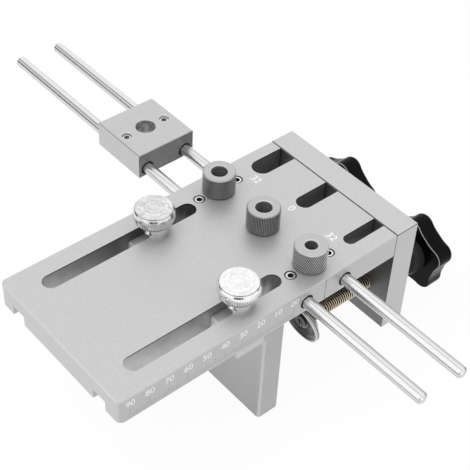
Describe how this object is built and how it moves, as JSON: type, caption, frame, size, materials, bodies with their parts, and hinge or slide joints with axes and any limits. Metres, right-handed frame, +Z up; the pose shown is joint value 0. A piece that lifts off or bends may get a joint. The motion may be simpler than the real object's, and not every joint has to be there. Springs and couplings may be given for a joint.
{
  "type": "self-centering doweling jig",
  "caption": "Flat drilling jig with three drill bushes, a sliding stop, two screw clamps with star knobs, and a guide block on two rods.",
  "frame": {"origin": "axis of the centre drill bush, in the plane of the base plate's underside", "axes": "+X from the bush line towards the clamp end plate, +Y along the guide rods towards the guide block, +Z up out of the bushes; the scale is on the -Y face"},
  "size_m": [0.21, 0.304, 0.0841],
  "materials": {
    "machined_aluminium": "fine bead-blasted, clear anodised, machined edges",
    "polished_steel": "bright ground rod",
    "nickel_plate": "bright nickel plate over turning marks",
    "turned_steel": "turned steel with knurled rim",
    "pad_steel": "pressed steel, bright rim",
    "screw_steel": "zinc plated screw",
    "yellow_zinc_thread": "yellow zinc plated rolled thread",
    "black_knob": "gloss moulded"
  },
  "bodies": {
    "base": {"base_plate": "machined_aluminium", "end_plate": "machined_aluminium", "end_plate_screws": "screw_steel", "rod_set_screws": "screw_steel"},
    "stop": {"stop_bracket": "machined_aluminium"},
    "thumbscrew_near": {"thumbscrew_near": "nickel_plate"},
    "thumbscrew_far": {"thumbscrew_far": "nickel_plate"},
    "rod_left": {"guide_rod_left": "polished_steel"},
    "rod_right": {"guide_rod_right": "polished_steel"},
    "block": {"guide_block": "machined_aluminium", "guide_block_screws": "screw_steel"},
    "bush_near": {"drill_bush_near": "turned_steel"},
    "bush_centre": {"drill_bush_centre": "turned_steel"},
    "bush_far": {"drill_bush_far": "turned_steel"},
    "collar_near": {"pad_collar_near": "screw_steel"},
    "spindle_near": {"clamp_screw_near": "yellow_zinc_thread", "star_knob_near": "black_knob", "pad_screw_near": "screw_steel"},
    "pad_near": {"pressure_pad_near": "pad_steel"},
    "collar_far": {"pad_collar_far": "screw_steel"},
    "spindle_far": {"clamp_screw_far": "yellow_zinc_thread", "star_knob_far": "black_knob", "pad_screw_far": "screw_steel"},
    "pad_far": {"pressure_pad_far": "pad_steel"}
  },
  "joints": [
    {"name": "stop_slide", "type": "slide", "parent": "base", "child": "stop", "axis": [1, 0, 0], "range_m": [-0.045, 0.006]},
    {"name": "rod_left_slide", "type": "slide", "parent": "base", "child": "rod_left", "axis": [0, 1, 0], "range_m": [-0.07, 0.06]},
    {"name": "rod_right_slide", "type": "slide", "parent": "base", "child": "rod_right", "axis": [0, 1, 0], "range_m": [-0.07, 0.06]},
    {"name": "block_slide", "type": "slide", "parent": "base", "child": "block", "axis": [0, 1, 0], "range_m": [-0.028, 0.074]},
    {"name": "thumbscrew_near_turn", "type": "hinge", "parent": "stop", "child": "thumbscrew_near", "pos_m": [-0.0404, -0.03, 0.013], "axis": [0, 0, 1], "range_deg": [0, 720]},
    {"name": "thumbscrew_far_turn", "type": "hinge", "parent": "stop", "child": "thumbscrew_far", "pos_m": [-0.0404, 0.03, 0.013], "axis": [0, 0, 1], "range_deg": [0, 720]},
    {"name": "bush_near_lift", "type": "slide", "parent": "base", "child": "bush_near", "axis": [0, 0, 1], "range_m": [0, 0.016]},
    {"name": "bush_centre_lift", "type": "slide", "parent": "base", "child": "bush_centre", "axis": [0, 0, 1], "range_m": [0, 0.016]},
    {"name": "bush_far_lift", "type": "slide", "parent": "base", "child": "bush_far", "axis": [0, 0, 1], "range_m": [0, 0.016]},
    {"name": "clamp_near_feed", "type": "slide", "parent": "base", "child": "collar_near", "axis": [1, 0, 0], "range_m": [-0.012, 0.03]},
    {"name": "clamp_near_turn", "type": "hinge", "parent": "collar_near", "child": "spindle_near", "pos_m": [0.06, -0.028, -0.0303], "axis": [1, 0, 0], "range_deg": [-3460, 8650]},
    {"name": "pad_near_tilt", "type": "hinge", "parent": "collar_near", "child": "pad_near", "pos_m": [0.0063, -0.028, -0.0303], "axis": [0, 1, 0], "range_deg": [0, 24]},
    {"name": "clamp_far_feed", "type": "slide", "parent": "base", "child": "collar_far", "axis": [1, 0, 0], "range_m": [-0.0145, 0.0272]},
    {"name": "clamp_far_turn", "type": "hinge", "parent": "collar_far", "child": "spindle_far", "pos_m": [0.0628, 0.028, -0.0303], "axis": [1, 0, 0], "range_deg": [-4180, 7840]},
    {"name": "pad_far_tilt", "type": "hinge", "parent": "collar_far", "child": "pad_far", "pos_m": [0.0091, 0.028, -0.0303], "axis": [0, 1, 0], "range_deg": [0, 24]}
  ],
  "couplings": [
    {"joint": "clamp_near_turn", "follows": "clamp_near_feed", "rad_per_m": 5026.5},
    {"joint": "clamp_far_turn", "follows": "clamp_far_feed", "rad_per_m": 5026.5}
  ]
}
